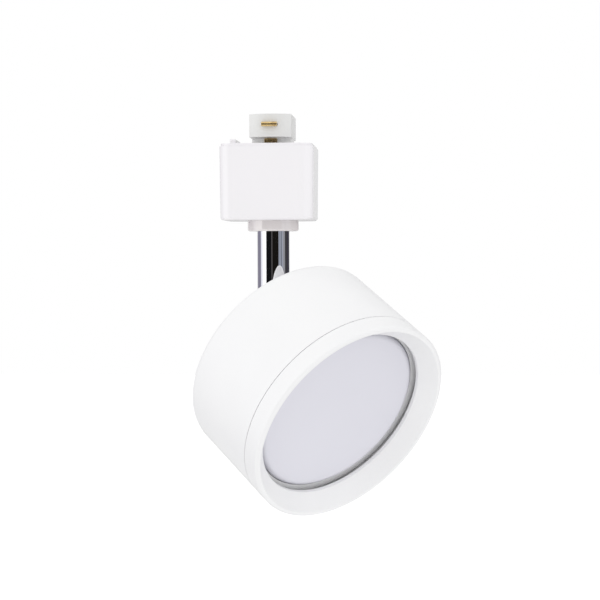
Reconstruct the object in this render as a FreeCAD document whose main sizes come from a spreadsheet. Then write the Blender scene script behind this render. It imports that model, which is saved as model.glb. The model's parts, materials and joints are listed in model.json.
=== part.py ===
# A track spotlight: an adapter box with a twist-lock tongue, a turning stem and a tilting drum head
# that takes a flat disc lamp. Millimetres and degrees. The origin is on the stem's axis, in the plane
# of the adapter's top face, with +Z up and +X along the track.
import FreeCAD, Part
import math
import os
import re

import Sketcher
from FreeCAD import Vector

SIZES = {
    # pose at rest: turned from -Y towards +X, and tipped up from straight down
    "pan_rest": 45,
    "tilt_rest": 60,
    "pivot_drop": 79.4,
    # general gaps
    "fit_gap": 0.03,
    "face_gap": 0.1,
    # adapter box and its cap
    "box_length": 36.5,
    "box_width": 35,
    "box_height": 29.35,
    "box_shift": 1.3,
    "box_corner": 5.5,
    "box_edge": 1.2,
    "box_draft": 0.6,
    "box_wall": 1.8,
    "box_floor": 2,
    "cap_thick": 1,
    "cap_inset": 0.6,
    "boss_inset": 4.6,
    "boss_round": 2.8,
    "cap_screw_round": 1.25,
    "cap_screw_head": 0.8,
    "cap_screw_long": 9,
    "driver_slot_half": 0.35,
    "driver_slot_deep": 0.6,
    # tongue that turns in the track, and its contacts
    "flange_round": 11,
    "flange_thick": 3,
    "neck_round": 8.2,
    "lip_space": 2.6,
    "bar_width": 16.2,
    "bar_round": 13.5,
    "bar_height": 8.8,
    "blade_thick": 0.6,
    "blade_half": 3,
    "blade_inside": 5.6,
    "blade_reach": 15,
    "blade_level": 7,
    "blade_nose": 0.9,
    "blade_tail": 8,
    "earth_inside": 8.4,
    "earth_half": 2.5,
    "earth_top": 2.3,
    # release latch
    "latch_near": 13.8,
    "latch_thick": 2.2,
    "latch_half": 8,
    "latch_top": 2.2,
    "latch_low": 13,
    "latch_travel": 3.5,
    "guide_thick": 1.5,
    "guide_half": 5.2,
    "tab_half": 4,
    "tab_high": 2,
    "tab_low": 6.8,
    "tab_proud": 0.4,
    "slot_gap": 0.3,
    "spring_round": 1.6,
    "spring_wire": 0.3,
    "spring_turns": 7,
    # collar, stem and what holds it in the box
    "collar_round": 10,
    "collar_height": 4.1,
    "collar_edge": 0.8,
    "collar_recess": 1.6,
    "spigot_round": 7,
    "tube_round": 6.35,
    "nipple_round": 5,
    "nipple_bore": 3.5,
    "nipple_depth": 8,
    "nipple_top": 20.5,
    "bearing_gap": 0.05,
    "stop_round": 9,
    "stop_reach": 11.8,
    "stop_half": 1.25,
    "stop_thick": 1,
    "post_near": 9.8,
    "post_far": 12.2,
    "post_height": 1.7,
    "lock_thick": 1.2,
    "split_half": 0.3,
    "lock_round": 8,
    "stem_nut_flat": 7,
    "stem_nut_thick": 3.2,
    # swivel between the stem and the head
    "plug_length": 10,
    "plug_bore": 2.6,
    "plug_floor": 0.6,
    "shoulder_round": 6.35,
    "shoulder_low": 7,
    "shoulder_high": 8.5,
    "eye_half": 2,
    "eye_round": 5,
    "heel_drop": 5.6,
    "pad_thick": 0.5,
    "pad_round": 4.6,
    "ear_thick": 2.5,
    "pivot_screw": 2,
    "pivot_head_round": 3.6,
    "pivot_head_thick": 2.2,
    "pivot_socket_flat": 1.2,
    "pivot_nut_flat": 3.5,
    "pivot_nut_thick": 3.2,
    "clevis_long": 8,
    "clevis_wide": 5.9,
    "clevis_thick": 1.2,
    "clevis_bore": 3.2,
    "clevis_end": 12.7,
    "head_nut_thick": 2.6,
    "lock_washer_thick": 0.8,
    # drum housing
    "drum_round": 42.5,
    "drum_back": 7,
    "drum_depth": 45.7,
    "drum_wall": 1.6,
    "drum_plate": 2,
    "drum_edge": 2.4,
    # front ring
    "ring_show": 7.6,
    "seam_gap": 0.3,
    "rim_width": 1.9,
    "rim_round": 1,
    "rim_edge": 0.3,
    "cone_inside": 35.6,
    "cone_depth": 6.2,
    "cone_thick": 1.2,
    "lip_thick": 1.4,
    "skirt_inside": 39.2,
    "skirt_outside": 40.6,
    "skirt_end": 39.7,
    "band_length": 2,
    # lamp
    "lamp_round": 37.5,
    "lamp_front": 42.8,
    "lamp_back": 27.4,
    "lamp_slope": 3.4,
    "lamp_ledge": 37,
    "lamp_inside": 34.8,
    "lamp_ledge_round": 33.2,
    "lamp_skin": 1.5,
    "hub_round": 18,
    "hub_back": 17.3,
    "diffuser_front": 44.1,
    "diffuser_thick": 1.3,
    "diffuser_edge": 2.4,
    "board_thick": 1.5,
    "led_side": 3,
    "led_thick": 0.8,
    "led_inner_ring": 12,
    "led_outer_ring": 25,
    "pin_circle": 26.5,
    "pin_round": 1.75,
    "pin_head_round": 2.9,
    "pin_neck": 3,
    "pin_head_thick": 2.4,
    "pin_foot_round": 2.5,
    "pin_foot_thick": 1.2,
    "driver_level": 21.7,
    "driver_round": 15.5,
    "component_at": 5.5,
    "choke_round": 4,
    "choke_tall": 7,
    "reservoir_round": 3.2,
    "reservoir_tall": 9,
    "bridge_half": 3,
    "bridge_tall": 3,
    # lampholder
    "holder_round": 37,
    "holder_inside": 19.2,
    "holder_front": 27.1,
    "holder_back": 14.9,
    "holder_skin": 2,
    "holder_edge": 1,
    "entry_round": 3.2,
    "twist_angle": 15,
    "pocket_inside": 22.8,
    "pocket_outside": 30.2,
    "pocket_early": 24,
    "pocket_late": 9,
    "holder_screw_at": 24,
    "holder_screw_round": 1.5,
    "holder_head_round": 2.9,
    "holder_head_thick": 2.4,
    "holder_socket_flat": 1.2,
    "holder_sink": 3.3,
    "holder_screw_end": 10.2,
    "holder_boss_round": 3.4,
    "contact_thick": 0.6,
    "contact_half": 3.5,
    "contact_near": 23.6,
    "contact_far": 29.6,
    # earth point and wiring
    "earth_at": 17,
    "earth_boss_round": 3.6,
    "earth_boss_end": 11.6,
    "earth_tag_thick": 0.8,
    "earth_screw_round": 2,
    "earth_head_round": 3.4,
    "earth_head_thick": 1.8,
    "tag_barrel_long": 6,
    "tag_barrel_half": 1,
    "wire_round": 0.9,
    "wire_ring": 1.25,
    "wire_bend": 2,
    "wire_lead": 4,
    "wire_level": 13.9,
    "pocket_wire_at": 26,
}

BOX = "placement(vector(0; 0; 0); rotation(vector(0; 0; 1); 0))"
STEM = "placement(vector(0; 0; 0); rotation(vector(0; 0; 1); pan_rest))"
STEM_END = "placement(vector(0; 0; -pivot_drop); rotation(vector(0; 0; 1); pan_rest))"
HEAD = ("placement(vector(0; 0; -pivot_drop); "
        "rotation(vector(0; 0; 1); pan_rest) * rotation(vector(1; 0; 0); -tilt_rest))")

TURNS = {"x": "rotation(vector(0; 1; 0); 90)", "z": "rotation(vector(0; 0; 1); 0)"}

doc = FreeCAD.newDocument("TrackSpotlight")
subparts = []


# Sizes

def make_sheet():
    sheet = doc.addObject("Spreadsheet::Sheet", "Sizes")
    for row, (word, value) in enumerate(SIZES.items(), 1):
        sheet.set(f"A{row}", word)
        sheet.set(f"B{row}", str(value))
        sheet.setAlias(f"B{row}", word)
    doc.recompute()
    return sheet


def on_sheet(text):
    """Point each size named in an expression at its cell."""
    return re.sub("[a-z_]+", lambda word: f"Sizes.{word[0]}" if word[0] in SIZES else word[0], str(text))


def size(word):
    return float(sheet.get(word))


def bind(item, **expressions):
    for name, text in expressions.items():
        item.setExpression(name, on_sheet(text))
    return item


def keep(label, item, place):
    """Name a finished sub-part and set it where its group stands."""
    item.Label = label
    bind(item, Placement=place)
    subparts.append(item)
    return item


# Plain solids and booleans

def block(low, high):
    item = doc.addObject("Part::Box", "Block")
    bind(item, Length=f"({high[0]}) - ({low[0]})", Width=f"({high[1]}) - ({low[1]})",
         Height=f"({high[2]}) - ({low[2]})")
    return bind(item, Placement=f"placement(vector({low[0]}; {low[1]}; {low[2]}); {TURNS['z']})")


def rod(radius, start, end, across=(0, 0), along="z", name="Part::Cylinder"):
    """A round bar from start to end along an axis, across giving its other two coordinates."""
    item = doc.addObject(name, "Rod")
    foot = (start, *across) if along == "x" else (*across, start)
    bind(item, Height=f"({end}) - ({start})",
         Placement=f"placement(vector({foot[0]}; {foot[1]}; {foot[2]}); {TURNS[along]})")
    return bind(item, Radius=radius) if name == "Part::Cylinder" else item


def cone(low_radius, high_radius, start, end, across=(0, 0)):
    item = rod(None, start, end, across, name="Part::Cone")
    return bind(item, Radius1=low_radius, Radius2=high_radius)


def hexagon(half_flat, start, end, along="z"):
    item = rod(None, start, end, along=along, name="Part::Prism")
    item.Polygon = 6
    return bind(item, Circumradius=f"({half_flat}) / cos(30)")


def sector(radius, start, end, first_angle, last_angle):
    """A wedge of a round bar about the Z axis, between two angles."""
    item = rod(radius, start, end)
    bind(item, Angle=f"({last_angle}) - ({first_angle})")
    return bind(item, Placement=f"placement(vector(0; 0; {start}); rotation(vector(0; 0; 1); {first_angle}))")


def join(*pieces):
    item = doc.addObject("Part::MultiFuse", "Join")
    item.Shapes = list(pieces)
    return item


def cut(base, *tools):
    item = doc.addObject("Part::Cut", "Cut")
    item.Base = base
    item.Tool = tools[0] if len(tools) == 1 else join(*tools)
    return item


def common(base, tool):
    item = doc.addObject("Part::Common", "Common")
    item.Base = base
    item.Tool = tool
    return item


def group(*pieces):
    """Separate solids that share one sub-part."""
    item = doc.addObject("Part::Compound", "Group")
    item.Links = list(pieces)
    return item


def washer(inside, outside, start, end, along="z"):
    return cut(rod(outside, start, end, along=along), rod(inside, start, end, along=along))


# Bodies drawn with sketches

def sketch_on(body, role, lift="0"):
    sketch = body.newObject("Sketcher::SketchObject", "Sketch")
    plane = next(item for item in body.Origin.OriginFeatures if item.Role == role)
    sketch.AttachmentSupport = [(plane, "")]
    sketch.MapMode = "FlatFace"
    sketch.setExpression("AttachmentOffset.Base.z", on_sheet(lift))
    return sketch


def hold(sketch, element, point, place):
    """Fix one point of a sketch at its two distances from the origin."""
    for kind, text in zip(("DistanceX", "DistanceY"), place):
        index = sketch.addConstraint(Sketcher.Constraint(kind, -1, 1, element, point, 1))
        sketch.setExpression(f"Constraints[{index}]", on_sheet(text))


def draw_corners(sketch, corners):
    """A closed outline of straight lines through the corners."""
    count = len(corners)
    first = sketch.GeometryCount
    spots = [Vector(math.cos(math.tau * i / count), math.sin(math.tau * i / count)) for i in range(count)]
    for i in range(count):
        sketch.addGeometry(Part.LineSegment(spots[i], spots[(i + 1) % count]))
    for i, place in enumerate(corners):
        sketch.addConstraint(Sketcher.Constraint("Coincident", first + i, 2, first + (i + 1) % count, 1))
        hold(sketch, first + i, 1, place)


def draw_box(sketch, low, high):
    draw_corners(sketch, [low, (high[0], low[1]), high, (low[0], high[1])])


def draw_circle(sketch, radius, centre=("0", "0")):
    element = sketch.addGeometry(Part.Circle(Vector(0, 0), Vector(0, 0, 1), 1))
    hold(sketch, element, 3, centre)
    index = sketch.addConstraint(Sketcher.Constraint("Radius", element, 1))
    sketch.setExpression(f"Constraints[{index}]", on_sheet(radius))


def new_body():
    return doc.addObject("PartDesign::Body", "Body")


def turned(corners):
    """A body turned about the Z axis from a half section of (radius, height) corners."""
    body = new_body()
    sketch = sketch_on(body, "XZ_Plane")
    draw_corners(sketch, corners)
    turn = body.newObject("PartDesign::Revolution", "Revolution")
    turn.Profile = sketch
    turn.ReferenceAxis = (sketch, ["V_Axis"])
    turn.Angle = 360
    doc.recompute()
    return body


def pad(body, sketch, length, down=False, draft="0"):
    feature = body.newObject("PartDesign::Pad", "Pad")
    feature.Profile = sketch
    feature.Reversed = down
    bind(feature, Length=length, TaperAngle=draft)
    doc.recompute()
    return feature


def pocket(body, sketch, depth, draft="0"):
    """Cut downwards from a sketch, and check that it removed something."""
    before = body.Shape.Volume
    feature = body.newObject("PartDesign::Pocket", "Pocket")
    feature.Profile = sketch
    bind(feature, Length=depth, TaperAngle=draft)
    doc.recompute()
    if not body.Shape.Volume < before:
        raise RuntimeError("a pocket cut nothing")
    return feature


def dress(body, kind, text, wanted):
    """Round or bevel the edges of a body that pass a test."""
    base = body.Tip
    names = [f"Edge{i}" for i, edge in enumerate(base.Shape.Edges, 1) if wanted(edge)]
    feature = body.newObject(f"PartDesign::{kind}", kind)
    feature.Base = (base, names)
    bind(feature, **{"Radius" if kind == "Fillet" else "Size": text})
    doc.recompute()
    return feature


def upright(edge):
    start, end = edge.Vertexes[0].Point, edge.Vertexes[-1].Point
    return abs(start.z - end.z) > 0.9 * edge.Length


def level_at(height):
    return lambda edge: all(abs(vertex.Z - height) < 0.01 for vertex in edge.Vertexes)


def circle_at(radius, height):
    return lambda edge: (level_at(height)(edge) and isinstance(edge.Curve, Part.Circle)
                         and abs(edge.Curve.Radius - radius) < 0.01)


# Wires

def path(points, bend):
    """Straight runs joined by tangent arcs."""
    edges = []
    start = points[0]
    for before, corner, after in zip(points, points[1:], points[2:]):
        inward, outward = (corner - before).normalize(), (after - corner).normalize()
        half_turn = inward.getAngle(outward) / 2
        back = bend * math.tan(half_turn)
        middle = corner + (outward - inward).normalize() * (bend / math.cos(half_turn) - bend)
        edges.append(Part.makeLine(start, corner - inward * back))
        edges.append(Part.Arc(corner - inward * back, middle, corner + outward * back).toShape())
        start = corner + outward * back
    return Part.Wire([*edges, Part.makeLine(start, points[-1])])


def wires(label, routes, place):
    """Insulated wires, each a round tube along its route."""
    tubes = []
    for points in routes:
        spine = path(points, size("wire_bend"))
        rim = Part.Wire(Part.makeCircle(size("wire_round"), points[0], points[1] - points[0]))
        tubes.append(spine.makePipeShell([rim], True, True))
    item = doc.addObject("Part::Feature", "Wires")
    item.Shape = Part.makeCompound(tubes)
    return keep(label, item, place)


def round_bundle(angle):
    """Where one of three wires lies in the bundle, at an angle about the stem's axis."""
    turn = math.radians(angle)
    return size("wire_ring") * math.cos(turn), size("wire_ring") * math.sin(turn)


# Adapter

def box_side(inset="0"):
    """Opposite corners of the box's outline, set in from its walls."""
    return ((f"-box_length / 2 - box_shift + {inset}", f"-box_width / 2 + {inset}"),
            (f"box_length / 2 - box_shift - {inset}", f"box_width / 2 - {inset}"))


def boss_places():
    low, high = box_side("boss_inset")
    return [(low[0], high[1]), (high[0], low[1])]


def adapter_body():
    body = new_body()
    outside = sketch_on(body, "XY_Plane", "-cap_thick")
    draw_box(outside, *box_side())
    pad(body, outside, "box_height - cap_thick", down=True, draft="-box_draft")
    dress(body, "Fillet", "box_corner", upright)
    dress(body, "Fillet", "box_edge", level_at(-size("box_height")))
    inside = sketch_on(body, "XY_Plane", "-cap_thick")
    draw_box(inside, *box_side("box_wall"))
    pocket(body, inside, "box_height - cap_thick - box_floor", draft="-box_draft")
    collar_hole = sketch_on(body, "XY_Plane", "-cap_thick")
    draw_circle(collar_hole, "spigot_round")
    pocket(body, collar_hole, "box_height")
    tab_slot = sketch_on(body, "XY_Plane", "-cap_thick")
    draw_box(tab_slot, (f"{box_side()[0][0]} - box_wall", "-tab_half - slot_gap"),
             (f"{box_side()[0][0]} + 2 * box_wall", "tab_half + slot_gap"))
    pocket(body, tab_slot, "tab_low + latch_travel + slot_gap - cap_thick")
    bosses = sketch_on(body, "XY_Plane", "-cap_thick")
    for place in boss_places():
        draw_circle(bosses, "boss_round", place)
    pad(body, bosses, "box_height - cap_thick - box_floor / 2", down=True)
    pilots = sketch_on(body, "XY_Plane", "-cap_thick")
    for place in boss_places():
        draw_circle(pilots, "cap_screw_round + fit_gap", place)
    pocket(body, pilots, "cap_screw_long")
    stop_post = sketch_on(body, "XY_Plane", "-box_height + box_floor / 2")
    draw_box(stop_post, ("-stop_half", "post_near"), ("stop_half", "post_far"))
    pad(body, stop_post, "box_floor / 2 + post_height")
    return keep("adapter_body", body, BOX)


def adapter_cap():
    body = new_body()
    plate = sketch_on(body, "XY_Plane", "-cap_thick")
    draw_box(plate, *box_side("cap_inset"))
    pad(body, plate, "cap_thick")
    dress(body, "Fillet", "box_corner - cap_inset", upright)
    neck_hole = sketch_on(body, "XY_Plane")
    draw_circle(neck_hole, "neck_round + face_gap")
    pocket(body, neck_hole, "cap_thick")
    slots = sketch_on(body, "XY_Plane")
    draw_box(slots, ("-latch_near - latch_thick - slot_gap", "-latch_half - slot_gap"),
             ("-latch_near + slot_gap", "latch_half + slot_gap"))
    draw_box(slots, ("-earth_half - slot_gap", "-earth_inside - blade_thick - slot_gap"),
             ("earth_half + slot_gap", "-neck_round + cap_thick"))
    pocket(body, slots, "cap_thick")
    screw_holes = sketch_on(body, "XY_Plane")
    for place in boss_places():
        draw_circle(screw_holes, "cap_screw_round + fit_gap", place)
    pocket(body, screw_holes, "cap_thick")
    dress(body, "Chamfer", "cap_screw_head", circle_at(size("cap_screw_round") + size("fit_gap"), 0))
    return keep("adapter_cap", body, BOX)


def cap_screws():
    """Countersunk screws that close the box, flush with its top face."""
    screws = []
    for place in boss_places():
        shank = rod("cap_screw_round", "-cap_screw_long", "-cap_screw_head", place)
        head = cone("cap_screw_round", "cap_screw_round + cap_screw_head - face_gap", "-cap_screw_head",
                    "-face_gap", place)
        slot = block((f"{place[0]} - cap_screw_round", f"{place[1]} - driver_slot_half", "-driver_slot_deep"),
                     (f"{place[0]} + cap_screw_round", f"{place[1]} + driver_slot_half", "0"))
        screws.append(cut(join(shank, head), slot))
    return keep("cap_screws", group(*screws), BOX)


def track_tongue():
    """Flange under the cap, round neck through it, and the bar that turns behind the track's lips."""
    flange = rod("flange_round", "-cap_thick - flange_thick", "-cap_thick")
    neck = rod("neck_round", "-cap_thick", "lip_space")
    bar = common(block(("-bar_width / 2", "-bar_round", "lip_space"),
                       ("bar_width / 2", "bar_round", "lip_space + bar_height")),
                 rod("bar_round", "lip_space", "lip_space + bar_height"))
    channels = []
    for side in (1, -1):
        near, far = f"{side} * (blade_inside - face_gap)", f"{side} * (blade_inside + blade_thick + face_gap)"
        tip = f"{side} * blade_reach"
        low_y, high_y = (near, far) if side > 0 else (far, near)
        ends = (near, tip) if side > 0 else (tip, near)
        channels.append(block(("-blade_half - face_gap", low_y, "-blade_tail"),
                              ("blade_half + face_gap", high_y, "blade_level")))
        channels.append(block(("-blade_half - face_gap", ends[0], "blade_level - face_gap"),
                              ("blade_half + face_gap", ends[1], "blade_level + blade_thick + face_gap")))
    channels.append(block(("-earth_half - face_gap", "-earth_inside - blade_thick - face_gap", "-blade_tail"),
                          ("earth_half + face_gap", "-earth_inside + face_gap", "-cap_thick")))
    return keep("track_tongue", cut(join(flange, neck, bar), *channels), BOX)


def line_contact(label, side):
    """A bent blade: a tail down through the neck, an arm along the bar and a rounded nose."""
    near, far = f"{side} * blade_inside", f"{side} * (blade_inside + blade_thick)"
    tip = f"{side} * blade_reach"
    tail_y = (near, far) if side > 0 else (far, near)
    arm_y = (near, tip) if side > 0 else (tip, near)
    tail = block(("-blade_half", tail_y[0], "-blade_tail"), ("blade_half", tail_y[1], "blade_level"))
    arm = block(("-blade_half", arm_y[0], "blade_level"),
                ("blade_half", arm_y[1], "blade_level + blade_thick"))
    nose = rod("blade_nose", "-blade_half", "blade_half", (tip, "blade_level + blade_thick / 2"), along="x")
    return keep(label, join(tail, arm, nose), BOX)


def earth_contact():
    """A leaf beside the neck that presses on the edge of the track's slot."""
    leaf = block(("-earth_half", "-earth_inside - blade_thick", "-blade_tail"),
                 ("earth_half", "-earth_inside", "earth_top"))
    return keep("earth_contact", group(leaf), BOX)


def latch_slide():
    """Locking tongue, guide plate inside the wall and the finger tab outside it."""
    far = "-latch_near - latch_thick"
    tongue = block((far, "-latch_half", "-latch_low"), ("-latch_near", "latch_half", "latch_top"))
    guide = block((f"{far} - guide_thick", "-guide_half", "-latch_low"),
                  (far, "guide_half", "-cap_thick - face_gap"))
    tab = block((f"{box_side()[0][0]} - tab_proud", "-tab_half", "-tab_low"),
                (f"{far} - guide_thick", "tab_half", "-tab_high"))
    return keep("latch_slide", join(tongue, guide, tab), BOX)


def latch_spring():
    """A coil between the floor of the box and the foot of the latch."""
    across = "-latch_near - latch_thick / 2"
    floor, top = "-box_height + box_floor", "-latch_low"
    helix = doc.addObject("Part::Helix", "Helix")
    bind(helix, Radius="spring_round", Height=f"{top} - ({floor}) - 2 * spring_wire",
         Pitch=f"({top} - ({floor}) - 2 * spring_wire) / spring_turns",
         Placement=f"placement(vector({across}; 0; {floor} + spring_wire); {TURNS['z']})")
    rim = doc.addObject("Part::Circle", "Circle")
    bind(rim, Radius="spring_wire",
         Placement=f"placement(vector({across} + spring_round; 0; {floor} + spring_wire); "
                   "rotation(vector(1; 0; 0); 90))")
    coil = doc.addObject("Part::Sweep", "Sweep")
    coil.Sections = [rim]
    coil.Spine = (helix, [])
    coil.Solid = True
    coil.Frenet = True
    return keep("latch_spring", coil, BOX)


def adapter_wires():
    """From the tails of the three contacts to the mouth of the stem."""
    starts = {90: (0, size("blade_inside")), 210: (0, -size("blade_inside") - size("blade_thick")),
              330: (2 * size("wire_round"), -size("earth_inside") - size("blade_thick") / 2)}
    top, lead, end = -size("blade_tail"), size("wire_lead"), -size("nipple_top") + size("wire_round")
    routes = []
    for angle, (x, y) in starts.items():
        bundle = round_bundle(angle)
        routes.append([Vector(x, y, top), Vector(x, y, top - lead), Vector(*bundle, end + lead / 2),
                       Vector(*bundle, end)])
    return wires("adapter_wires", routes, BOX)


# Stem

def stem_collar():
    """White collar under the box, with a spigot through its floor and a recess for the tube."""
    foot = "-box_height - collar_height"
    body = turned([("nipple_round + bearing_gap", "-box_height + box_floor"),
                   ("spigot_round", "-box_height + box_floor"), ("spigot_round", "-box_height"),
                   ("collar_round", "-box_height"), ("collar_round", foot),
                   ("tube_round + slot_gap", foot), ("tube_round + slot_gap", f"{foot} + collar_recess"),
                   ("nipple_round + bearing_gap", f"{foot} + collar_recess")])
    height = -size("box_height") - size("collar_height")
    dress(body, "Fillet", "collar_edge", circle_at(size("collar_round"), height))
    return keep("stem_collar", body, BOX)


def stem_tube():
    top = "-box_height - collar_height + collar_recess - face_gap"
    body = turned([("nipple_round + fit_gap", top), ("tube_round", top),
                   ("tube_round", "-pivot_drop + shoulder_high"),
                   ("nipple_round + fit_gap", "-pivot_drop + shoulder_high")])
    return keep("stem_tube", body, STEM)


def stem_nipple():
    """Threaded tube that carries the stem through the collar and the box's floor."""
    foot = "-box_height - collar_height + collar_recess - nipple_depth"
    body = turned([("nipple_bore", foot), ("nipple_round", foot), ("nipple_round", "-nipple_top"),
                   ("nipple_bore", "-nipple_top")])
    return keep("stem_nipple", body, STEM)


def stem_fixings():
    """Stop washer, spring washer and nut, stacked on the floor of the box."""
    floor = "-box_height + box_floor + face_gap"
    stop_top = f"{floor} + stop_thick"
    lock_top = f"{stop_top} + lock_thick"
    tab = block(("-stop_half", "-stop_reach", floor), ("stop_half", "-spigot_round", stop_top))
    disc = join(rod("stop_round", floor, stop_top), tab)
    keep("stop_washer", cut(disc, rod("nipple_round + fit_gap", floor, stop_top)), STEM)
    split = block(("0", "-split_half", stop_top), ("lock_round", "split_half", lock_top))
    keep("spring_washer", cut(rod("lock_round", stop_top, lock_top),
                              rod("nipple_round + fit_gap", stop_top, lock_top), split), STEM)
    nut_top = f"{lock_top} + stem_nut_thick"
    keep("stem_nut", cut(hexagon("stem_nut_flat", lock_top, nut_top),
                         rod("nipple_round + fit_gap", lock_top, nut_top)), STEM)


def stem_wires():
    """Three insulated wires down the bore of the stem."""
    runs = []
    for angle in (90, 210, 330):
        place = (f"wire_ring * cos({angle})", f"wire_ring * sin({angle})")
        runs.append(rod("wire_round", "-pivot_drop + shoulder_low + 2 * plug_floor", "-nipple_top", place))
    return keep("stem_wires", group(*runs), STEM)


# Swivel

def swivel_eye():
    """Plug in the stem's end, a shoulder, and the flat eye with the heel that stops the head."""
    plug = rod("nipple_round", "shoulder_high", "shoulder_high + plug_length")
    shoulder = rod("shoulder_round", "shoulder_low", "shoulder_high")
    blade = block(("-eye_half", "-eye_round", "0"), ("eye_half", "eye_round", "shoulder_low"))
    eye = rod("eye_round", "-eye_half", "eye_half", along="x")
    heel = block(("-eye_half", "0", "-heel_drop"), ("eye_half", "eye_round", "0"))
    bore = rod("plug_bore", "shoulder_low + plug_floor", "shoulder_high + plug_length")
    pivot = rod("pivot_screw + fit_gap", "-eye_half", "eye_half", along="x")
    return keep("swivel_eye", cut(join(plug, shoulder, blade, eye, heel), bore, pivot), STEM_END)


def ear(start, end):
    plate = block((start, "-eye_round", "-drum_back + clevis_thick / 2"), (end, "eye_round", "0"))
    return join(plate, rod("eye_round", start, end, along="x"))


def swivel_clevis():
    """Two ears on a plate against the drum, and a hollow threaded stub through its back plate."""
    near = "eye_half + bearing_gap + pad_thick"
    far = f"{near} + ear_thick"
    foot = block(("-clevis_long", "-clevis_wide", "-drum_back"),
                 ("clevis_long", "clevis_wide", "-drum_back + clevis_thick"))
    stub = rod("nipple_round", "-clevis_end", "-drum_back")
    bore = rod("clevis_bore", "-clevis_end", "-drum_back + clevis_thick")
    pivot = rod("pivot_screw + fit_gap", f"-({far})", far, along="x")
    ears = [ear(near, far), ear(f"-({far})", f"-({near})")]
    return keep("swivel_clevis", cut(join(foot, stub, *ears), bore, pivot), HEAD)


def swivel_fixings():
    """Screw, friction washers and nut on the tilt axis."""
    near = "eye_half + bearing_gap"
    far = f"{near} + pad_thick + ear_thick"
    top = f"{far} + pivot_head_thick"
    head = rod("pivot_head_round", far, top, along="x")
    shank = rod("pivot_screw", f"-({far}) - pivot_nut_thick - pad_thick", far, along="x")
    socket = hexagon("pivot_socket_flat", f"{far} + pivot_head_thick / 2", top, along="x")
    keep("swivel_screw", cut(join(head, shank), socket), HEAD)
    nut_end = f"-({far}) - pivot_nut_thick"
    keep("swivel_nut", cut(hexagon("pivot_nut_flat", nut_end, f"-({far})", along="x"),
                           rod("pivot_screw + fit_gap", nut_end, f"-({far})", along="x")), HEAD)
    pads = [washer("pivot_screw + fit_gap", "pad_round", start, end, along="x")
            for start, end in ((near, f"{near} + pad_thick"), (f"-({near}) - pad_thick", f"-({near})"))]
    keep("friction_washers", group(*pads), HEAD)


def clevis_fixings():
    """Toothed washer and nut that hold the clevis to the drum's back plate."""
    plate = "-drum_back - drum_plate"
    lock_end = f"{plate} - lock_washer_thick"
    keep("lock_washer", washer("nipple_round + fit_gap", "lock_round", lock_end, plate), HEAD)
    nut_end = f"{lock_end} - head_nut_thick"
    keep("clevis_nut", cut(hexagon("stem_nut_flat", nut_end, lock_end),
                           rod("nipple_round + fit_gap", nut_end, lock_end)), HEAD)


# Drum

def holder_boss_places():
    return [("0", "holder_screw_at"), ("0", "-holder_screw_at")]


def housing_shell():
    """Open drum with a closed back, two posts for the lampholder and one for the earth screw."""
    rim, plate = "-drum_back - drum_depth + ring_show + seam_gap", "-drum_back - drum_plate"
    body = turned([("nipple_round + fit_gap", "-drum_back"), ("drum_round", "-drum_back"),
                   ("drum_round", rim), ("drum_round - drum_wall", rim),
                   ("drum_round - drum_wall", plate), ("nipple_round + fit_gap", plate)])
    dress(body, "Fillet", "drum_edge", circle_at(size("drum_round"), -size("drum_back")))
    posts = sketch_on(body, "XY_Plane", "-holder_back")
    for place in holder_boss_places():
        draw_circle(posts, "holder_boss_round", place)
    pad(body, posts, "holder_back - drum_back - drum_plate / 2")
    pilots = sketch_on(body, "XY_Plane", "-holder_screw_end + bearing_gap")
    for place in holder_boss_places():
        draw_circle(pilots, "holder_screw_round + fit_gap", place)
    pocket(body, pilots, "holder_back - holder_screw_end + holder_edge")
    earth_post = sketch_on(body, "XY_Plane", "-earth_boss_end")
    draw_circle(earth_post, "earth_boss_round", ("earth_at", "earth_at"))
    pad(body, earth_post, "earth_boss_end - drum_back - drum_plate / 2")
    earth_pilot = sketch_on(body, "XY_Plane", "-drum_back - drum_plate + bearing_gap")
    draw_circle(earth_pilot, "earth_screw_round + fit_gap", ("earth_at", "earth_at"))
    pocket(body, earth_pilot, "earth_boss_end - drum_back")
    return keep("housing_shell", body, HEAD)


def front_ring():
    """Outer band, narrow rim, conical inner wall and a skirt that pushes into the drum."""
    rim = "-drum_back - drum_depth"
    step = f"{rim} + ring_show"
    lip = f"{rim} + cone_depth"
    slope = "(drum_round - rim_width - cone_inside) / cone_depth"
    away = f"cone_thick / cos(atan({slope}))"
    lip_back = f"cone_inside + {away} - ({slope}) * lip_thick"
    skirt_root = f"{lip} - (skirt_inside - cone_inside - {away}) / ({slope})"
    lip_end = f"{lip} + lip_thick"
    body = turned([("drum_round", step), ("drum_round", rim), ("drum_round - rim_width", rim),
                   ("cone_inside", lip), ("cone_inside", lip_end), (lip_back, lip_end),
                   ("skirt_inside", skirt_root), ("skirt_inside", "-skirt_end"),
                   ("drum_round - drum_wall - bearing_gap", "-skirt_end"),
                   ("drum_round - drum_wall - bearing_gap", "-skirt_end - band_length"),
                   ("skirt_outside", "-skirt_end - band_length"), ("skirt_outside", step)])
    front = -size("drum_back") - size("drum_depth")
    dress(body, "Fillet", "rim_round", circle_at(size("drum_round"), front))
    dress(body, "Fillet", "rim_edge", circle_at(size("drum_round") - size("rim_width"), front))
    return keep("front_ring", body, HEAD)


# Lampholder

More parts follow.
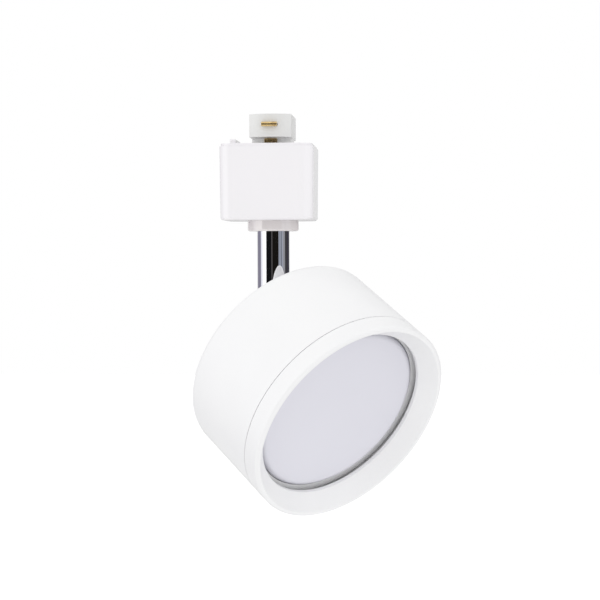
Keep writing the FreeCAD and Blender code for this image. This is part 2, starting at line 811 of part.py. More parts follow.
def bayonet_cuts(half_turn):
    """Entry hole, curved slot and the pocket behind it for one lamp pin."""
    face, back = "-holder_front", "-holder_front + holder_skin"
    pin_at = [(f"pin_circle * cos({angle} + {half_turn})", f"pin_circle * sin({angle} + {half_turn})")
              for angle in ("-twist_angle", "0")]
    track = cut(sector("pin_circle + pin_round + slot_gap", face, back,
                       f"-twist_angle + {half_turn}", half_turn),
                rod("pin_circle - pin_round - slot_gap", face, back))
    chamber = cut(sector("pocket_outside", back, "-holder_back", f"-pocket_early + {half_turn}",
                         f"pocket_late + {half_turn}"),
                  rod("pocket_inside", back, "-holder_back"))
    return [rod("entry_round", face, back, pin_at[0]), rod("pin_round + slot_gap", face, back, pin_at[1]),
            track, chamber]


def lampholder_base():
    """Ring-shaped moulding with two bayonet slots and two screw holes."""
    ring = turned([("holder_inside", "-holder_front"), ("holder_round", "-holder_front"),
                   ("holder_round", "-holder_back"), ("holder_inside", "-holder_back")])
    dress(ring, "Fillet", "holder_edge", circle_at(size("holder_round"), -size("holder_front")))
    tools = [*bayonet_cuts("0"), *bayonet_cuts("180")]
    seat = "-holder_front + holder_sink"
    for place in holder_boss_places():
        tools.append(rod("holder_screw_round + face_gap", "-holder_front", "-holder_back", place))
        tools.append(rod("holder_head_round + slot_gap", "-holder_front", seat, place))
    return keep("lampholder_base", cut(ring, *tools), HEAD)


def lampholder_contacts():
    """A spring blade behind each lamp pin, with a leg to the wire."""
    blades = []
    behind = "-lamp_back + pin_neck + pin_head_thick + 2 * face_gap"
    for low, high in (("contact_near", "contact_far"), ("-contact_far", "-contact_near")):
        outer = ("contact_far - contact_thick", "contact_far") if low == "contact_near" else (
            "-contact_far", "-contact_far + contact_thick")
        arm = block((low, "-contact_half", behind), (high, "contact_half", f"{behind} + contact_thick"))
        leg = block((outer[0], "-contact_half", behind),
                    (outer[1], "contact_half", "-holder_back - holder_edge"))
        blades.append(join(arm, leg))
    return keep("lampholder_contacts", group(*blades), HEAD)


def lampholder_screws():
    screws = []
    for place in holder_boss_places():
        seat = "-holder_front + holder_sink"
        top = f"{seat} - holder_head_thick"
        head = rod("holder_head_round", top, seat, place)
        shank = rod("holder_screw_round", seat, "-holder_screw_end", place)
        socket = hexagon("holder_socket_flat", top, f"{seat} - holder_head_thick / 2")
        bind(socket, Placement=f"placement(vector({place[0]}; {place[1]}; {top}); {TURNS['z']})")
        screws.append(cut(join(head, shank), socket))
    return keep("lampholder_screws", group(*screws), HEAD)


def earth_point():
    """Ring tag with a crimp barrel, held by its screw."""
    place = ("earth_at", "earth_at")
    tag_end = "-earth_boss_end - earth_tag_thick"
    ring = rod("earth_boss_round", tag_end, "-earth_boss_end", place)
    barrel = block(("earth_at - tag_barrel_long", "earth_at - tag_barrel_half", tag_end),
                   ("earth_at", "earth_at + tag_barrel_half", "-earth_boss_end"))
    hole = rod("earth_screw_round + fit_gap", tag_end, "-earth_boss_end", place)
    keep("earth_tag", cut(join(ring, barrel), hole), HEAD)
    head = rod("earth_head_round", f"{tag_end} - earth_head_thick", tag_end, place)
    shank = rod("earth_screw_round", tag_end, "-drum_back - drum_plate", place)
    head_face = f"{tag_end} - earth_head_thick"
    slot = block(("earth_at - earth_head_round", "earth_at - driver_slot_half", head_face),
                 ("earth_at + earth_head_round", "earth_at + driver_slot_half",
                  f"{head_face} + driver_slot_deep"))
    keep("earth_screw", cut(join(head, shank), slot), HEAD)


def head_wires():
    """Live and neutral to the lampholder's pockets, earth to its tag."""
    level, lead = -size("wire_level"), size("wire_lead")
    start = -size("drum_back") - size("drum_plate")
    across, deep = size("pocket_wire_at"), -size("holder_back") - lead
    earth_y = size("earth_at")
    tag_x = earth_y - size("tag_barrel_long")
    ends = {0: [Vector(across, -lead, level), Vector(across, -lead, deep)],
            240: [Vector(-across, lead, level), Vector(-across, lead, deep)],
            120: [Vector(tag_x - lead, earth_y - lead, level), Vector(tag_x, earth_y, level)]}
    routes = []
    for angle, finish in ends.items():
        bundle = round_bundle(angle)
        routes.append([Vector(*bundle, start), Vector(*bundle, level), *finish])
    return wires("head_wires", routes, HEAD)


# Lamp

def lamp_body():
    """Flat disc body with a round hub at the back, open at the front for the diffuser."""
    inner_back = "-lamp_back - lamp_skin"
    disc = turned([("lamp_inside", "-lamp_front"), ("lamp_round", "-lamp_front"),
                   ("lamp_round", "-lamp_back - lamp_slope"), ("lamp_round - lamp_skin", "-lamp_back"),
                   ("hub_round", "-lamp_back"), ("hub_round", "-hub_back"), ("0", "-hub_back"),
                   ("0", "-hub_back - lamp_skin"), ("hub_round - lamp_skin", "-hub_back - lamp_skin"),
                   ("hub_round - lamp_skin", inner_back), ("lamp_ledge_round", inner_back),
                   ("lamp_ledge_round", "-lamp_ledge"), ("lamp_inside", "-lamp_ledge")])
    holes = [rod("pin_round + fit_gap", inner_back, "-lamp_back", (place, "0"))
             for place in ("pin_circle", "-pin_circle")]
    return keep("lamp_body", cut(disc, *holes), HEAD)


def lamp_pins():
    """Two headed contact pins in the back of the lamp."""
    pins = []
    for place in (("pin_circle", "0"), ("-pin_circle", "0")):
        inside = "-lamp_back - lamp_skin"
        foot = rod("pin_foot_round", f"{inside} - pin_foot_thick", inside, place)
        shank = rod("pin_round", inside, "-lamp_back + pin_neck", place)
        head = rod("pin_head_round", "-lamp_back + pin_neck", "-lamp_back + pin_neck + pin_head_thick", place)
        pins.append(join(foot, shank, head))
    return keep("lamp_pins", group(*pins), HEAD)


def lamp_electronics():
    """Round metal board with rings of light chips, and the driver board in the hub."""
    front = "-lamp_ledge - board_thick"
    keep("led_board", group(rod("lamp_inside - face_gap", front, "-lamp_ledge")), HEAD)
    chips = []
    for circle, count in (("led_inner_ring", 6), ("led_outer_ring", 12)):
        for step in range(count):
            angle = 360 * step / count
            x, y = f"{circle} * cos({angle})", f"{circle} * sin({angle})"
            chips.append(block((f"{x} - led_side / 2", f"{y} - led_side / 2", f"{front} - led_thick"),
                               (f"{x} + led_side / 2", f"{y} + led_side / 2", front)))
    keep("led_chips", group(*chips), HEAD)
    face = "-driver_level - board_thick"
    board = rod("driver_round", face, "-driver_level")
    choke = rod("choke_round", f"{face} - choke_tall", face, ("-component_at", "component_at"))
    reservoir = rod("reservoir_round", f"{face} - reservoir_tall", face, ("component_at", "component_at"))
    bridge = block(("-bridge_half", "-component_at - bridge_half", f"{face} - bridge_tall"),
                   ("bridge_half", "-component_at + bridge_half", face))
    keep("driver_board", join(board, choke, reservoir, bridge), HEAD)


def lamp_diffuser():
    """Frosted cover, slightly proud of the lamp's body, with a rounded edge."""
    foot = "-lamp_ledge - board_thick"
    body = turned([("0", "-diffuser_front"), ("lamp_inside - face_gap", "-diffuser_front"),
                   ("lamp_inside - face_gap", foot), ("lamp_inside - face_gap - diffuser_thick", foot),
                   ("lamp_inside - face_gap - diffuser_thick", "-diffuser_front + diffuser_thick"),
                   ("0", "-diffuser_front + diffuser_thick")])
    edge_round = size("lamp_inside") - size("face_gap")
    dress(body, "Fillet", "diffuser_edge", circle_at(edge_round, -size("diffuser_front")))
    return keep("lamp_diffuser", body, HEAD)


# Build, check and write

def check():
    doc.recompute()
    for item in doc.Objects:
        if "Invalid" in item.State or "Error" in item.State:
            raise RuntimeError(f"{item.Label} failed: {item.State}")
    for item in subparts:
        if item.Shape.isNull() or not item.Shape.isValid() or not item.Shape.Solids:
            raise RuntimeError(f"{item.Label} has no valid shape")


def write():
    os.makedirs("parts", exist_ok=True)
    for item in subparts:
        item.Shape.exportStep(f"parts/{item.Label}.step")
        print(f"{item.Label:22} {len(item.Shape.Solids)} solids {item.Shape.Volume:9.1f} mm3")


sheet = make_sheet()
adapter_body()
adapter_cap()
cap_screws()
track_tongue()
line_contact("live_contact", 1)
line_contact("neutral_contact", -1)
earth_contact()
latch_slide()
latch_spring()
adapter_wires()
stem_collar()
stem_tube()
stem_nipple()
stem_fixings()
stem_wires()
swivel_eye()
swivel_clevis()
swivel_fixings()
clevis_fixings()
housing_shell()
front_ring()
lampholder_base()
lampholder_contacts()
lampholder_screws()
earth_point()
head_wires()
lamp_body()
lamp_pins()
lamp_electronics()
lamp_diffuser()
check()
write()
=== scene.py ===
import json
import math

import bmesh
import bpy
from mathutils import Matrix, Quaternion, Vector

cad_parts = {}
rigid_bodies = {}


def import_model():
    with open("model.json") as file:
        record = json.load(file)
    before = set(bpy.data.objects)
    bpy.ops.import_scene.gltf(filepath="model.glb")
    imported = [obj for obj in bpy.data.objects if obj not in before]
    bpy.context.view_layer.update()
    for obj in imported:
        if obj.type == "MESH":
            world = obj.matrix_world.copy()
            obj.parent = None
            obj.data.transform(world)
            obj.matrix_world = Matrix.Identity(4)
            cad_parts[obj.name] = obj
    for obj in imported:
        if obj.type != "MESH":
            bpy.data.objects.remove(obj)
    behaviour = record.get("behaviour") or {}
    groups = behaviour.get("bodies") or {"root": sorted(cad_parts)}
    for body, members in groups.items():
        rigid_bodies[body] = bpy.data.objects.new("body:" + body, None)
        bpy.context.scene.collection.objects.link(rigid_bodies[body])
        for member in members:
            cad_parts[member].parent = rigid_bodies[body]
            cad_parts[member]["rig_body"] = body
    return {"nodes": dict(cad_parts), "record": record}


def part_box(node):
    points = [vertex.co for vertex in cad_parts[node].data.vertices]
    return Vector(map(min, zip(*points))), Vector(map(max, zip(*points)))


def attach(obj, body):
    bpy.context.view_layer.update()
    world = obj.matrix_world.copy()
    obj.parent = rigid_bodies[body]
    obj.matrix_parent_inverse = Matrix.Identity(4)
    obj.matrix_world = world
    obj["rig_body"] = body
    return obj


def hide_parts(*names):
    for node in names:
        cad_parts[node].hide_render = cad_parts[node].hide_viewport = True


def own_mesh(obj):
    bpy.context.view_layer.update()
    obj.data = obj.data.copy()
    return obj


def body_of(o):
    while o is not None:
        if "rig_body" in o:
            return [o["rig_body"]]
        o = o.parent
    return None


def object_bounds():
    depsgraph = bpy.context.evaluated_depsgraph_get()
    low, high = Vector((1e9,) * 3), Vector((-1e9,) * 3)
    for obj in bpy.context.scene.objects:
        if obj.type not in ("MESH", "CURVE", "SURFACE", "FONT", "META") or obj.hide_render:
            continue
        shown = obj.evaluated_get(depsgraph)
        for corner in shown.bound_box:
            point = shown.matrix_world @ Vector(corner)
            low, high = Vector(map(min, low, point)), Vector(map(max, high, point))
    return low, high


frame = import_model()
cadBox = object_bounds()
print("frame loaded:", len(frame["nodes"]), "nodes")

joints = {joint["name"]: joint for joint in frame["record"]["behaviour"]["joints"]}
tiltAxis = Vector(joints["tilt"]["axis"]).normalized()
headAxis = Vector(joints["ring_pull"]["axis"]).normalized()  # from the drum's back to its mouth


class Wire:
    # one socket; sums on it add Math nodes
    def __init__(self, finish, socket):
        self.finish, self.socket = finish, socket

    def math(self, operation, first, second):
        return self.finish.node("Math", {"operation": operation}, {0: first, 1: second})

    def __add__(self, other):
        return self.math("ADD", self, other)

    def __sub__(self, other):
        return self.math("SUBTRACT", self, other)

    def __rsub__(self, other):
        return self.math("SUBTRACT", other, self)

    def __mul__(self, other):
        return self.math("MULTIPLY", self, other)

    def least(self, other):
        return self.math("MINIMUM", self, other)

    def __abs__(self):
        return self.math("ABSOLUTE", self, 0)

    __radd__, __rmul__ = __add__, __mul__


class Finish:
    # one node tree, of a material or the world
    def __init__(self, owner):
        self.owner = owner
        owner.use_nodes = True
        self.tree = owner.node_tree
        self.tree.nodes.clear()

    def node(self, kind, settings=None, sockets=None, out=0):
        made = self.tree.nodes.new("ShaderNode" + kind)
        for name, value in (settings or {}).items():
            setattr(made, name, value)
        for name, value in (sockets or {}).items():
            socket = made.inputs[name]
            if isinstance(value, Wire):
                self.tree.links.new(value.socket, socket)
            else:
                socket.default_value = (*value, 1) if socket.type == "RGBA" else value
        return Wire(self, made.outputs[out]) if made.outputs else None

    def where(self, scale=(1, 1, 1)):
        place = self.node("TexCoord", out="Object")
        if scale == (1, 1, 1):
            return place
        return self.node("Mapping", sockets={"Vector": place, "Scale": scale})

    def noise(self, scale, detail=2.0, rough=0.5, where=None):
        return self.node("TexNoise", sockets={"Vector": where or self.where(), "Scale": scale,
                                              "Detail": detail, "Roughness": rough})

    def spread(self, value, low, high, least=0.0, most=1.0):
        return self.node("MapRange", sockets={"Value": value, "From Min": low, "From Max": high,
                                              "To Min": least, "To Max": most})

    def blend(self, share, first, second):
        return self.node("Mix", {"data_type": "RGBA"}, {0: share, 6: first, 7: second}, out=2)

    def bump(self, height, depth, under=None):
        sockets = {"Height": height, "Distance": depth}
        return self.node("Bump", sockets={**sockets, "Normal": under} if under else sockets)

    def surface(self, **sockets):
        named = {name.replace("_", " "): value for name, value in sockets.items()}
        shader = self.node("BsdfPrincipled", sockets=named)
        self.node("OutputMaterial", sockets={"Surface": shader})
        return self.owner


def newFinish(name):
    return Finish(bpy.data.materials.new(name))


def mouldedPlastic(name, light, dark, gloss, grain=0.000002, shine=1.5):
    # smooth injection moulding: a soft flow mark, and the faintest polishing marks in the gloss
    make = newFinish(name)
    flow = make.spread(make.noise(45, 2, 0.4), 0.3, 0.7)
    polish = make.spread(make.noise(300, 3), 0.3, 0.7, gloss - 0.03, gloss + 0.04)
    return make.surface(Base_Color=make.blend(flow, light, dark), Roughness=polish, IOR=shine,
                        Normal=make.bump(make.noise(2600, 3, 0.6), grain))


def powderCoat(name, light, dark):
    # satin white powder on aluminium: orange peel about a millimetre across, a finer tooth on top
    make = newFinish(name)
    drift = make.spread(make.noise(40, 2, 0.4), 0.35, 0.65)
    speck = make.spread(make.noise(5200, 1), 0.62, 0.74)
    peel = make.noise(820, 2, 0.45)
    tooth = make.noise(3600, 2, 0.6)
    shade = make.blend(speck * 0.12, make.blend(drift, light, dark), (0.78, 0.78, 0.79))
    return make.surface(Base_Color=shade, Roughness=make.spread(peel, 0.3, 0.7, 0.36, 0.46), IOR=1.5,
                        Normal=make.bump(tooth, 0.000006, make.bump(peel, 0.00003)))


def plating(name, light, dark, smooth, dull, wave=0.000004):
    # bright plating: faint drawing marks, slightly duller in patches
    make = newFinish(name)
    patch = make.spread(make.noise(140, 4, 0.6), 0.35, 0.7)
    drawn = make.noise(900, 2, 0.5, make.where((1, 1, 0.04)))
    return make.surface(Base_Color=make.blend(patch, light, dark), Metallic=1.0,
                        Roughness=make.spread(patch + drawn * 0.4, 0.1, 1.2, smooth, dull),
                        Normal=make.bump(make.noise(160, 2), wave))


def sheetBrass(name):
    # rolled strip: grain along its length, a brown tint where it has been handled
    make = newFinish(name)
    rolled = make.noise(2400, 2, 0.5, make.where((0.06, 1, 1)))
    stain = make.spread(make.noise(210, 4, 0.6), 0.5, 0.75)
    return make.surface(Base_Color=make.blend(stain, (0.82, 0.61, 0.29), (0.55, 0.36, 0.16)), Metallic=1.0,
                        Roughness=make.spread(rolled + stain * 0.5, 0.3, 1.1, 0.2, 0.42),
                        Normal=make.bump(rolled, 0.000006))


def insulation(name):
    # matt sleeving with a chalky bloom
    make = newFinish(name)
    chalk = make.spread(make.noise(700, 3), 0.4, 0.7)
    return make.surface(Base_Color=make.blend(chalk, (0.09, 0.1, 0.13), (0.17, 0.18, 0.21)),
                        Roughness=make.spread(chalk, 0, 1, 0.5, 0.66),
                        Normal=make.bump(make.noise(3000, 2), 0.00001))


def opalCover(name):
    # frosted polycarbonate over an unlit lamp: cool grey, finely grained
    make = newFinish(name)
    cloud = make.spread(make.noise(26, 2, 0.4), 0.35, 0.65)
    frost = make.noise(4200, 3, 0.65)
    return make.surface(Base_Color=make.blend(cloud, (0.755, 0.75, 0.815), (0.74, 0.735, 0.80)),
                        Roughness=make.spread(frost, 0.3, 0.7, 0.5, 0.6), IOR=1.58,
                        Normal=make.bump(frost, 0.00001))


def phosphor(name):
    make = newFinish(name)
    gel = make.spread(make.noise(1500, 3), 0.35, 0.65)
    return make.surface(Base_Color=make.blend(gel, (0.9, 0.7, 0.16), (0.93, 0.78, 0.3)), Roughness=0.25,
                        Normal=make.bump(gel, 0.00002))


def circuitBoard(name, mask, copper):
    # solder mask over etched tracks
    make = newFinish(name)
    tracks = make.node("TexBrick", sockets={"Vector": make.where(), "Scale": 160.0, "Mortar Size": 0.03,
                                            "Color1": (0, 0, 0), "Color2": (0, 0, 0), "Mortar": (1, 1, 1)})
    worn = make.spread(make.noise(900, 3), 0.4, 0.6)
    return make.surface(Base_Color=make.blend(tracks, make.blend(worn, mask, copper), copper),
                        Roughness=make.spread(worn, 0, 1, 0.28, 0.4), Normal=make.bump(tracks, 0.00003))


finishes = {
    "box_plastic": mouldedPlastic("adapterPlastic", (0.925, 0.908, 0.93), (0.915, 0.90, 0.922), 0.12),
    "tongue_plastic": mouldedPlastic("tonguePlastic", (0.8, 0.8, 0.79), (0.76, 0.76, 0.75), 0.4, 0.00001),
    "drum_paint": powderCoat("drumPowderCoat", (0.925, 0.925, 0.93), (0.91, 0.91, 0.918)),
    "stem_chrome": plating("stemChrome", (0.94, 0.94, 0.955), (0.89, 0.89, 0.915), 0.015, 0.05),
    "zinc": plating("swivelPlating", (0.66, 0.67, 0.70), (0.56, 0.57, 0.6), 0.14, 0.3, 0.00001),
    "brass": sheetBrass("contactBrass"),
    "spring_steel": plating("springSteel", (0.5, 0.5, 0.52), (0.4, 0.4, 0.42), 0.22, 0.4),
    "wire": insulation("wireSleeving"),
    "holder_plastic": mouldedPlastic("lampholderMoulding", (0.78, 0.77, 0.73), (0.74, 0.73, 0.69), 0.4,
                                     0.00001),
    "lamp_plastic": mouldedPlastic("lampMoulding", (0.86, 0.86, 0.865), (0.82, 0.82, 0.83), 0.36),
    "frosted": opalCover("lampOpal"),
    "board": circuitBoard("ledBoardMask", (0.82, 0.82, 0.8), (0.7, 0.7, 0.68)),
    "led": phosphor("ledPhosphor"),
    "driver": circuitBoard("driverBoardMask", (0.03, 0.17, 0.07), (0.06, 0.27, 0.12)),
}
collarFinish = mouldedPlastic("collarGlaze", (0.87, 0.825, 0.82), (0.855, 0.81, 0.805), 0.08, shine=2.2)
slots = {name: node.data.materials[0].name for name, node in frame["nodes"].items()}
for name, node in frame["nodes"].items():
    node.data.materials[0] = collarFinish if name == "stem_collar" else finishes[slots[name]]
print("finishes made:", len(finishes) + 1)


def standIn(piece, node):
    # the piece takes a CAD node's place, body and finish
    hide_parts(node)
    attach(piece, body_of(frame["nodes"][node])[0])
    if not piece.data.materials:
        piece.data.materials.append(finishes[slots[node]])
    return piece


def newPiece(name, mesh, sharp=35):
    # smooth faces, with creases where the surface turns sharply
    bmesh.ops.recalc_face_normals(mesh, faces=mesh.faces)
    for face in mesh.faces:
        face.smooth = True
    for edge in mesh.edges:
        edge.smooth = len(edge.link_faces) == 2 and edge.calc_face_angle() < math.radians(sharp)
    data = bpy.data.meshes.new(name)
    mesh.to_mesh(data)
    mesh.free()
    piece = bpy.data.objects.new(name, data)
    bpy.context.scene.collection.objects.link(piece)
    return piece


weld = 0.000001  # metres within which the CAD mesh's points are one
# edge rounding in metres: moulded pieces softest, stamped strip barely broken
brokenEdges = {
    "track_tongue": 0.0005, "latch_slide": 0.0003, "adapter_cap": 0.0002, "swivel_eye": 0.0003,
    "swivel_clevis": 0.0003, "live_contact": 0.00012, "neutral_contact": 0.00012, "earth_contact": 0.00012,
    "lampholder_contacts": 0.0001, "earth_tag": 0.0001, "stop_washer": 0.0001, "spring_washer": 0.0001,
    "lock_washer": 0.0001, "friction_washers": 0.0001,
}


def breakEdges(node, width):
    # a copy of the node with its sharp edges rounded
    mesh = bmesh.new()
    mesh.from_mesh(frame["nodes"][node].data)
    bmesh.ops.remove_doubles(mesh, verts=mesh.verts, dist=weld)
    bmesh.ops.dissolve_limit(mesh, angle_limit=math.radians(0.5), verts=mesh.verts, edges=mesh.edges)
    piece = newPiece(node + "_rounded", mesh)
    bevel = piece.modifiers.new("edges", "BEVEL")
    bevel.width, bevel.segments = width, 3
    bevel.limit_method, bevel.angle_limit = "ANGLE", math.radians(35)
    bevel.harden_normals = True
    return standIn(piece, node)


for node, width in brokenEdges.items():
    breakEdges(node, width)
print("edges broken:", len(brokenEdges))


def solidsOf(node):
    # lists the points of each separate solid in a node
    mesh = bmesh.new()
    mesh.from_mesh(frame["nodes"][node].data)
    bmesh.ops.remove_doubles(mesh, verts=mesh.verts, dist=weld)
    mesh.verts.index_update()
    seen, found = set(), []
    for first in mesh.verts:
        if first.index in seen:
            continue
        seen.add(first.index)
        waiting, points = [first], []
        while waiting:
            point = waiting.pop()
            points.append(point.co.copy())
            for edge in point.link_edges:
                other = edge.other_vert(point)
                if other.index not in seen:
                    seen.add(other.index)
                    waiting.append(other)
        found.append(points)
    mesh.free()
    return found


def hexagonOutline(halfFlat):
    return lambda turn: halfFlat / math.cos((turn + math.pi / 6) % (math.pi / 3) - math.pi / 6)


def crossOutline(reach, halfWidth):
    def radius(turn):
        aside = (turn + math.pi / 4) % (math.pi / 2) - math.pi / 4
        return min(reach, halfWidth / max(abs(math.sin(aside)), 0.0001))
    return radius


def smaller(first, second):
    # the outline that lies inside two others, such as a nut's flats inside its chamfer
    return lambda turn: min(outlineAt(first, turn), outlineAt(second, turn))


def outlineAt(outline, turn):
    return outline(turn) if callable(outline) else outline


def threadRows(radius, start, end, pitch=0.0005, depth=0.0002):
    # crests and roots down a shank
    rows = []
    count = max(1, int((end - start) / pitch))
    for ring in range(count):
        along = start + (end - start) * ring / count
        rows += [(radius - depth, along), (radius, along + (end - start) / count / 2)]
    return [*rows, (radius - depth, end)]


def turnRows(mesh, rows, foot, axis, hollow, segments=96):
    # skin the rings that stand along an axis from foot
    across = axis.orthogonal().normalized()
    aside = axis.cross(across)
    rings = []
    for outline, along in rows:
        ring = []
        for spot in range(segments):
            turn = math.tau * spot / segments
            reach = outlineAt(outline, turn)
            ring.append(mesh.verts.new(foot + axis * along
                                       + (across * math.cos(turn) + aside * math.sin(turn)) * reach))
        rings.append(ring)
    pairs = list(zip(rings, rings[1:]))
    if hollow:
        pairs.append((rings[-1], rings[0]))
    for near, far in pairs:
        for spot in range(segments):
            after = (spot + 1) % segments
            mesh.faces.new((near[spot], near[after], far[after], far[spot]))
    if not hollow:
        mesh.faces.new(rings[0])
        mesh.faces.new(rings[-1])


def turnedFastener(node, axis, rowsFor, hollow=False):
    # one turned shape for each solid of the node, its rows measured back from the end the axis points to
    mesh = bmesh.new()
    for points in solidsOf(node):
        spans = [point.dot(axis) for point in points]
        middle = sum(points, Vector()) / len(points)
        low, high = min(spans), max(spans)
        if not hollow:  # the points of the head's flat face lie evenly round the axis
            top = [point for point, span in zip(points, spans) if high - span < 0.00001]
            middle = sum(top, Vector()) / len(top)
        foot = middle + axis * (high - middle.dot(axis))
        turnRows(mesh, rowsFor(high - low), foot, -axis, hollow)
    return standIn(newPiece(node + "_turned", mesh, 30), node)


# fasteners in metres
pivotScrew = {"head": 0.0036, "headDeep": 0.0022, "crown": 0.0005, "socket": 0.0012, "socketDeep": 0.0013,
              "shank": 0.00198, "thread": 0.0045, "bevel": 0.0001, "tip": 0.0002}


def pivotScrewRows(length):
    # a crowned head with a hexagon socket, and a shank threaded at its end
    spec = pivotScrew
    head, crown, bevel, deep = spec["head"], spec["crown"], spec["bevel"], spec["headDeep"]
    socket = hexagonOutline(spec["socket"])
    return [(socket, spec["socketDeep"]), (socket, bevel), (hexagonOutline(spec["socket"] + bevel), 0),
            (head - crown, 0), (head - crown * 0.3, crown * 0.3), (head, crown),
            (head, deep - bevel), (head - bevel, deep), (spec["shank"], deep),
            *threadRows(spec["shank"], length - spec["thread"], length - spec["tip"]),
            (spec["shank"] * 0.8, length)]


nuts = {
    # node: axis, half across flats, bore
    "swivel_nut": (tiltAxis, 0.0035, 0.00203),
    "stem_nut": (Vector((0, 0, 1)), 0.007, 0.00503),
    "clevis_nut": (headAxis, 0.007, 0.00503),
}
nutThread = {"lead": 0.0003, "root": 0.00015, "pitch": 0.0005, "depth": 0.00012}
nutBevel = [(0.0006, 0), (0.0003, 0.0002), (0, 0.0005)]  # set in from the corners, and down from the face


def nutRows(halfFlat, bore, length):
    # flats bevelled to a circle at both faces, and a threaded bore
    corner = halfFlat * 1.155
    flats = hexagonOutline(halfFlat)
    outside = [(smaller(flats, corner - inset), along) for inset, along in nutBevel]
    outside += [(smaller(flats, corner - inset), length - along) for inset, along in reversed(nutBevel)]
    lead = nutThread["lead"]
    thread = threadRows(bore + nutThread["root"], length - lead, lead, -nutThread["pitch"],
                        -nutThread["depth"])
    return [*outside, (bore + lead, length), *thread, (bore + lead, 0)]


capScrew = {"head": 0.00195, "shank": 0.00124, "headDeep": 0.0008, "driver": 0.0013, "halfWidth": 0.00026,
            "driverDeep": 0.0006, "rim": 0.0001}
holderScrew = {"head": 0.0029, "shank": 0.00148, "headDeep": 0.0024, "driver": 0.0017, "halfWidth": 0.00034,
               "driverDeep": 0.0013}
earthScrew = {"head": 0.0034, "shank": 0.00198, "headDeep": 0.0018, "driver": 0.0021, "halfWidth": 0.0004,
              "driverDeep": 0.0009}
screwThread = {"start": 0.0004, "tip": 0.0006}


def screwRows(spec, sunk, length):
    # a cross recess in a flat countersunk or a domed head, and a threaded shank
    cross = crossOutline(spec["driver"], spec["halfWidth"])
    floor = crossOutline(spec["driver"] * 0.7, spec["halfWidth"] * 0.8)
    head, deep = spec["head"], spec["headDeep"]
    if sunk:
        crown = [(head, 0), (head, spec["rim"])]
    else:
        crown = [(head * 0.8, 0), (head * 0.93, deep * 0.12), (head, deep * 0.35), (head, deep)]
    return [(floor, spec["driverDeep"]), (cross, 0), *crown, (spec["shank"], deep),
            *threadRows(spec["shank"], deep + screwThread["start"], length - screwThread["tip"]),
            (spec["shank"] * 0.5, length)]


turnedFastener("swivel_screw", tiltAxis, pivotScrewRows)
for node, (axis, halfFlat, bore) in nuts.items():
    turnedFastener(node, axis, lambda length: nutRows(halfFlat, bore, length), hollow=True)
turnedFastener("cap_screws", Vector((0, 0, 1)), lambda length: screwRows(capScrew, True, length))
turnedFastener("lampholder_screws", headAxis, lambda length: screwRows(holderScrew, False, length))
turnedFastener("earth_screw", headAxis, lambda length: screwRows(earthScrew, False, length))
print("fasteners turned:", 4 + len(nuts))

# a compression coil with closed ends, in metres
latchSpring = {"wire": 0.0003, "turns": 7, "closed": 1, "around": 24, "section": 10}


def windLatchSpring():
    # the wire's section carried up a helix whose end turns lie shut
    spec = latchSpring
    low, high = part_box("latch_spring")
    middle = (low + high) / 2
    reach = (high.x - low.x) / 2 - spec["wire"]
    bottom, top = low.z + spec["wire"], high.z - spec["wire"]
    shut = 2 * spec["wire"] * spec["closed"]
    turns = spec["turns"] + 2 * spec["closed"]
    steps = turns * spec["around"]
    mesh = bmesh.new()
    rings = []
    for step in range(steps + 1):
        turned = turns * step / steps
        if turned < spec["closed"]:
            level = bottom + shut * turned / spec["closed"]
        elif turned > turns - spec["closed"]:
            level = top - shut * (turns - turned) / spec["closed"]
        else:
            level = bottom + shut + (top - bottom - 2 * shut) * (turned - spec["closed"]) / spec["turns"]
        outward = Vector((math.cos(math.tau * turned), math.sin(math.tau * turned), 0))
        centre = Vector((middle.x, middle.y, level)) + outward * reach
        ring = []
        for spot in range(spec["section"]):
            turn = math.tau * spot / spec["section"]
            offset = outward * math.cos(turn) + Vector((0, 0, math.sin(turn)))
            ring.append(mesh.verts.new(centre + offset * spec["wire"]))
        rings.append(ring)
    for near, far in zip(rings, rings[1:]):
        for spot in range(spec["section"]):
            after = (spot + 1) % spec["section"]
            mesh.faces.new((near[spot], near[after], far[after], far[spot]))
    mesh.faces.new(rings[0])
    mesh.faces.new(rings[-1])
    spring = standIn(newPiece("latch_spring_wound", mesh, 60), "latch_spring")
    travel = max(abs(limit) for limit in joints["release_latch"]["range_m"])
    1 - travel / (high.z - low.z)
    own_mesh(spring)


windLatchSpring()
print("latch spring wound")


studio = {"ground": 0.6, "reach": 8.0, "backdrop": 1.0}
# light off the tent's walls, added at its sides, and lost underneath and behind
tent = {"walls": 0.985, "sides": 0.16, "below": 0.1, "behind": 0.32}


def paleGround():
    make = newFinish("paleFloor")
    drift = make.spread(make.noise(0.8, 2), 0.3, 0.7)
    return make.surface(Base_Color=make.blend(drift, (0.9, 0.9, 0.9), (0.88, 0.88, 0.88)), Roughness=0.8,
                        Emission_Color=(1, 1, 1), Emission_Strength=0.35)


def layFloor():
    mesh = bmesh.new()
    bmesh.ops.create_grid(mesh, x_segments=8, y_segments=8, size=studio["reach"])
    data = bpy.data.meshes.new("floor")
    mesh.to_mesh(data)
    mesh.free()
    floor = bpy.data.objects.new("floor", data)
    floor.location.z = cadBox[0].z - studio["ground"]
    floor.visible_diffuse = floor.visible_glossy = False  # the tent's own underside lights the piece
    data.materials.append(paleGround())
    bpy.context.scene.collection.objects.link(floor)


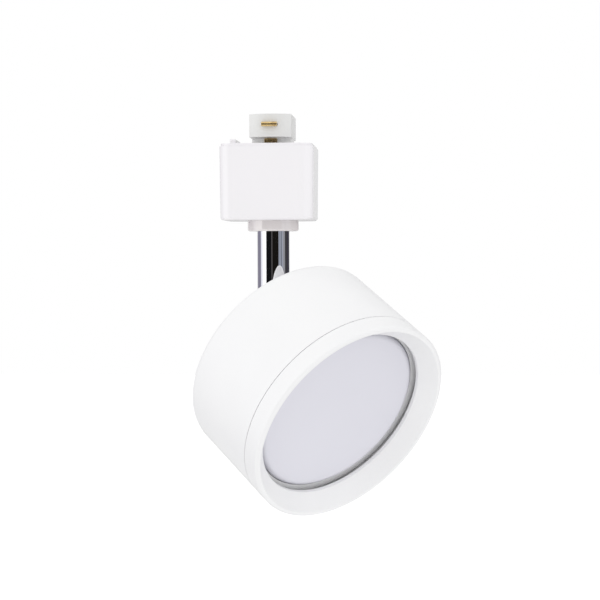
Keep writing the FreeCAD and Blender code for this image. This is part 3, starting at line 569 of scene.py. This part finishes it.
def lightWorld():
    # a white tent, brighter at its sides and dimmer underneath and behind, before a plain white backdrop
    world = bpy.data.worlds.new("whiteTent")
    bpy.context.scene.world = world
    make = Finish(world)
    facing = make.node("TexCoord", out="Generated")
    aside = make.node("SeparateXYZ", sockets={0: facing})
    away = make.node("SeparateXYZ", sockets={0: facing}, out=1)
    height = make.node("SeparateXYZ", sockets={0: facing}, out=2)
    wall = (abs(aside) * tent["sides"] + height.least(0) * tent["below"] + tent["walls"]
            + (0 - away).least(0) * tent["behind"])
    seen = make.node("LightPath", out="Is Camera Ray")
    glow = make.node("Background", sockets={"Color": (1, 1, 1),
                                            "Strength": seen * studio["backdrop"] + (1 - seen) * wall})
    make.node("OutputWorld", sockets={"Surface": glow})


view = {"around": 4.6, "above": 1.82, "away": 0.6, "aim": Vector((0.0103, 0.0014, -0.0605)), "lean": -0.2,
        "lens": 91.5}
around = math.radians(view["around"])
toCamera = Vector((math.sin(around), -math.cos(around), 0))
cameraRight = Vector((math.cos(around), math.sin(around), 0))


def placeCamera():
    data = bpy.data.cameras.new("camera")
    data.lens, data.sensor_width = view["lens"], 36
    data.clip_start, data.clip_end = 0.05, 60
    camera = bpy.data.objects.new("camera", data)
    up = math.radians(view["above"])
    back = toCamera * math.cos(up) + Vector((0, 0, math.sin(up)))
    camera.location = view["aim"] + back * view["away"]
    camera.rotation_mode = "QUATERNION"
    lean = Quaternion((0, 0, 1), math.radians(view["lean"]))
    camera.rotation_quaternion = (-back).to_track_quat("-Z", "Y") @ lean
    bpy.context.scene.collection.objects.link(camera)
    bpy.context.scene.camera = camera


cards = {
    "distance": 1.3, "low": -0.9, "high": 0.8,
    # name: start and end angle from the camera, towards its right, shade and how mottled it is
    "leftBack": (-146, -99, (0.24, 0.23, 0.29), 0),
    "leftViolet": (-99, -84, (0.86, 0.86, 0.93), 0.1),
    "leftBright": (-84, -51, (1.12, 1.12, 1.12), 0),
    "frontLeft": (-51, -13, (0.007, 0.007, 0.008), 0),
    "frontMiddle": (-13, -6, (0.09, 0.083, 0.085), 0),
    "frontRight": (-6, 38, (0.009, 0.008, 0.007), 0),
    "rightMottled": (38, 74, (0.28, 0.30, 0.35), 0.6),
    "rightGrey": (74, 92, (0.30, 0.30, 0.32), 0.2),
    "rightEdge": (92, 114, (0.045, 0.045, 0.048), 0),
    "rightBack": (114, 152, (0.045, 0.042, 0.055), 0),
}


def cardShade(name, shade, mottled):
    # a plain glowing card, cloudy where a crowded corner of the room shows in the plating
    make = newFinish(name)
    cloud = make.spread(make.noise(9, 3, 0.6), 0.3, 0.7)
    dim = tuple(part * (1 - mottled) for part in shade)
    bright = tuple(part * (1 + mottled) for part in shade)
    return make.surface(Base_Color=(0, 0, 0), Roughness=1.0, Specular_IOR_Level=0.0,
                        Emission_Color=make.blend(cloud, dim, bright), Emission_Strength=1.0)


def standCard(name, start, end, shade, mottled):
    # a curved card round the stem that only shows in gloss
    mesh = bmesh.new()
    steps = max(2, round((end - start) / 4))
    rows = []
    for step in range(steps + 1):
        angle = math.radians(start + (end - start) * step / steps)
        foot = (toCamera * math.cos(angle) + cameraRight * math.sin(angle)) * cards["distance"]
        rows.append([mesh.verts.new(foot + Vector((0, 0, cards[level]))) for level in ("low", "high")])
    for (a, b), (c, d) in zip(rows, rows[1:]):
        mesh.faces.new((a, c, d, b))
    data = bpy.data.meshes.new(name)
    mesh.to_mesh(data)
    mesh.free()
    data.materials.append(cardShade(name + "Shade", shade, mottled))
    card = bpy.data.objects.new(name, data)
    card.visible_camera = card.visible_diffuse = card.visible_shadow = False
    bpy.context.scene.collection.objects.link(card)


layFloor()
lightWorld()
placeCamera()
for name, spec in cards.items():
    if isinstance(spec, tuple):
        standCard(name, *spec)
print("floor, light and camera placed")

bpy.context.scene.view_settings.view_transform = "Standard"
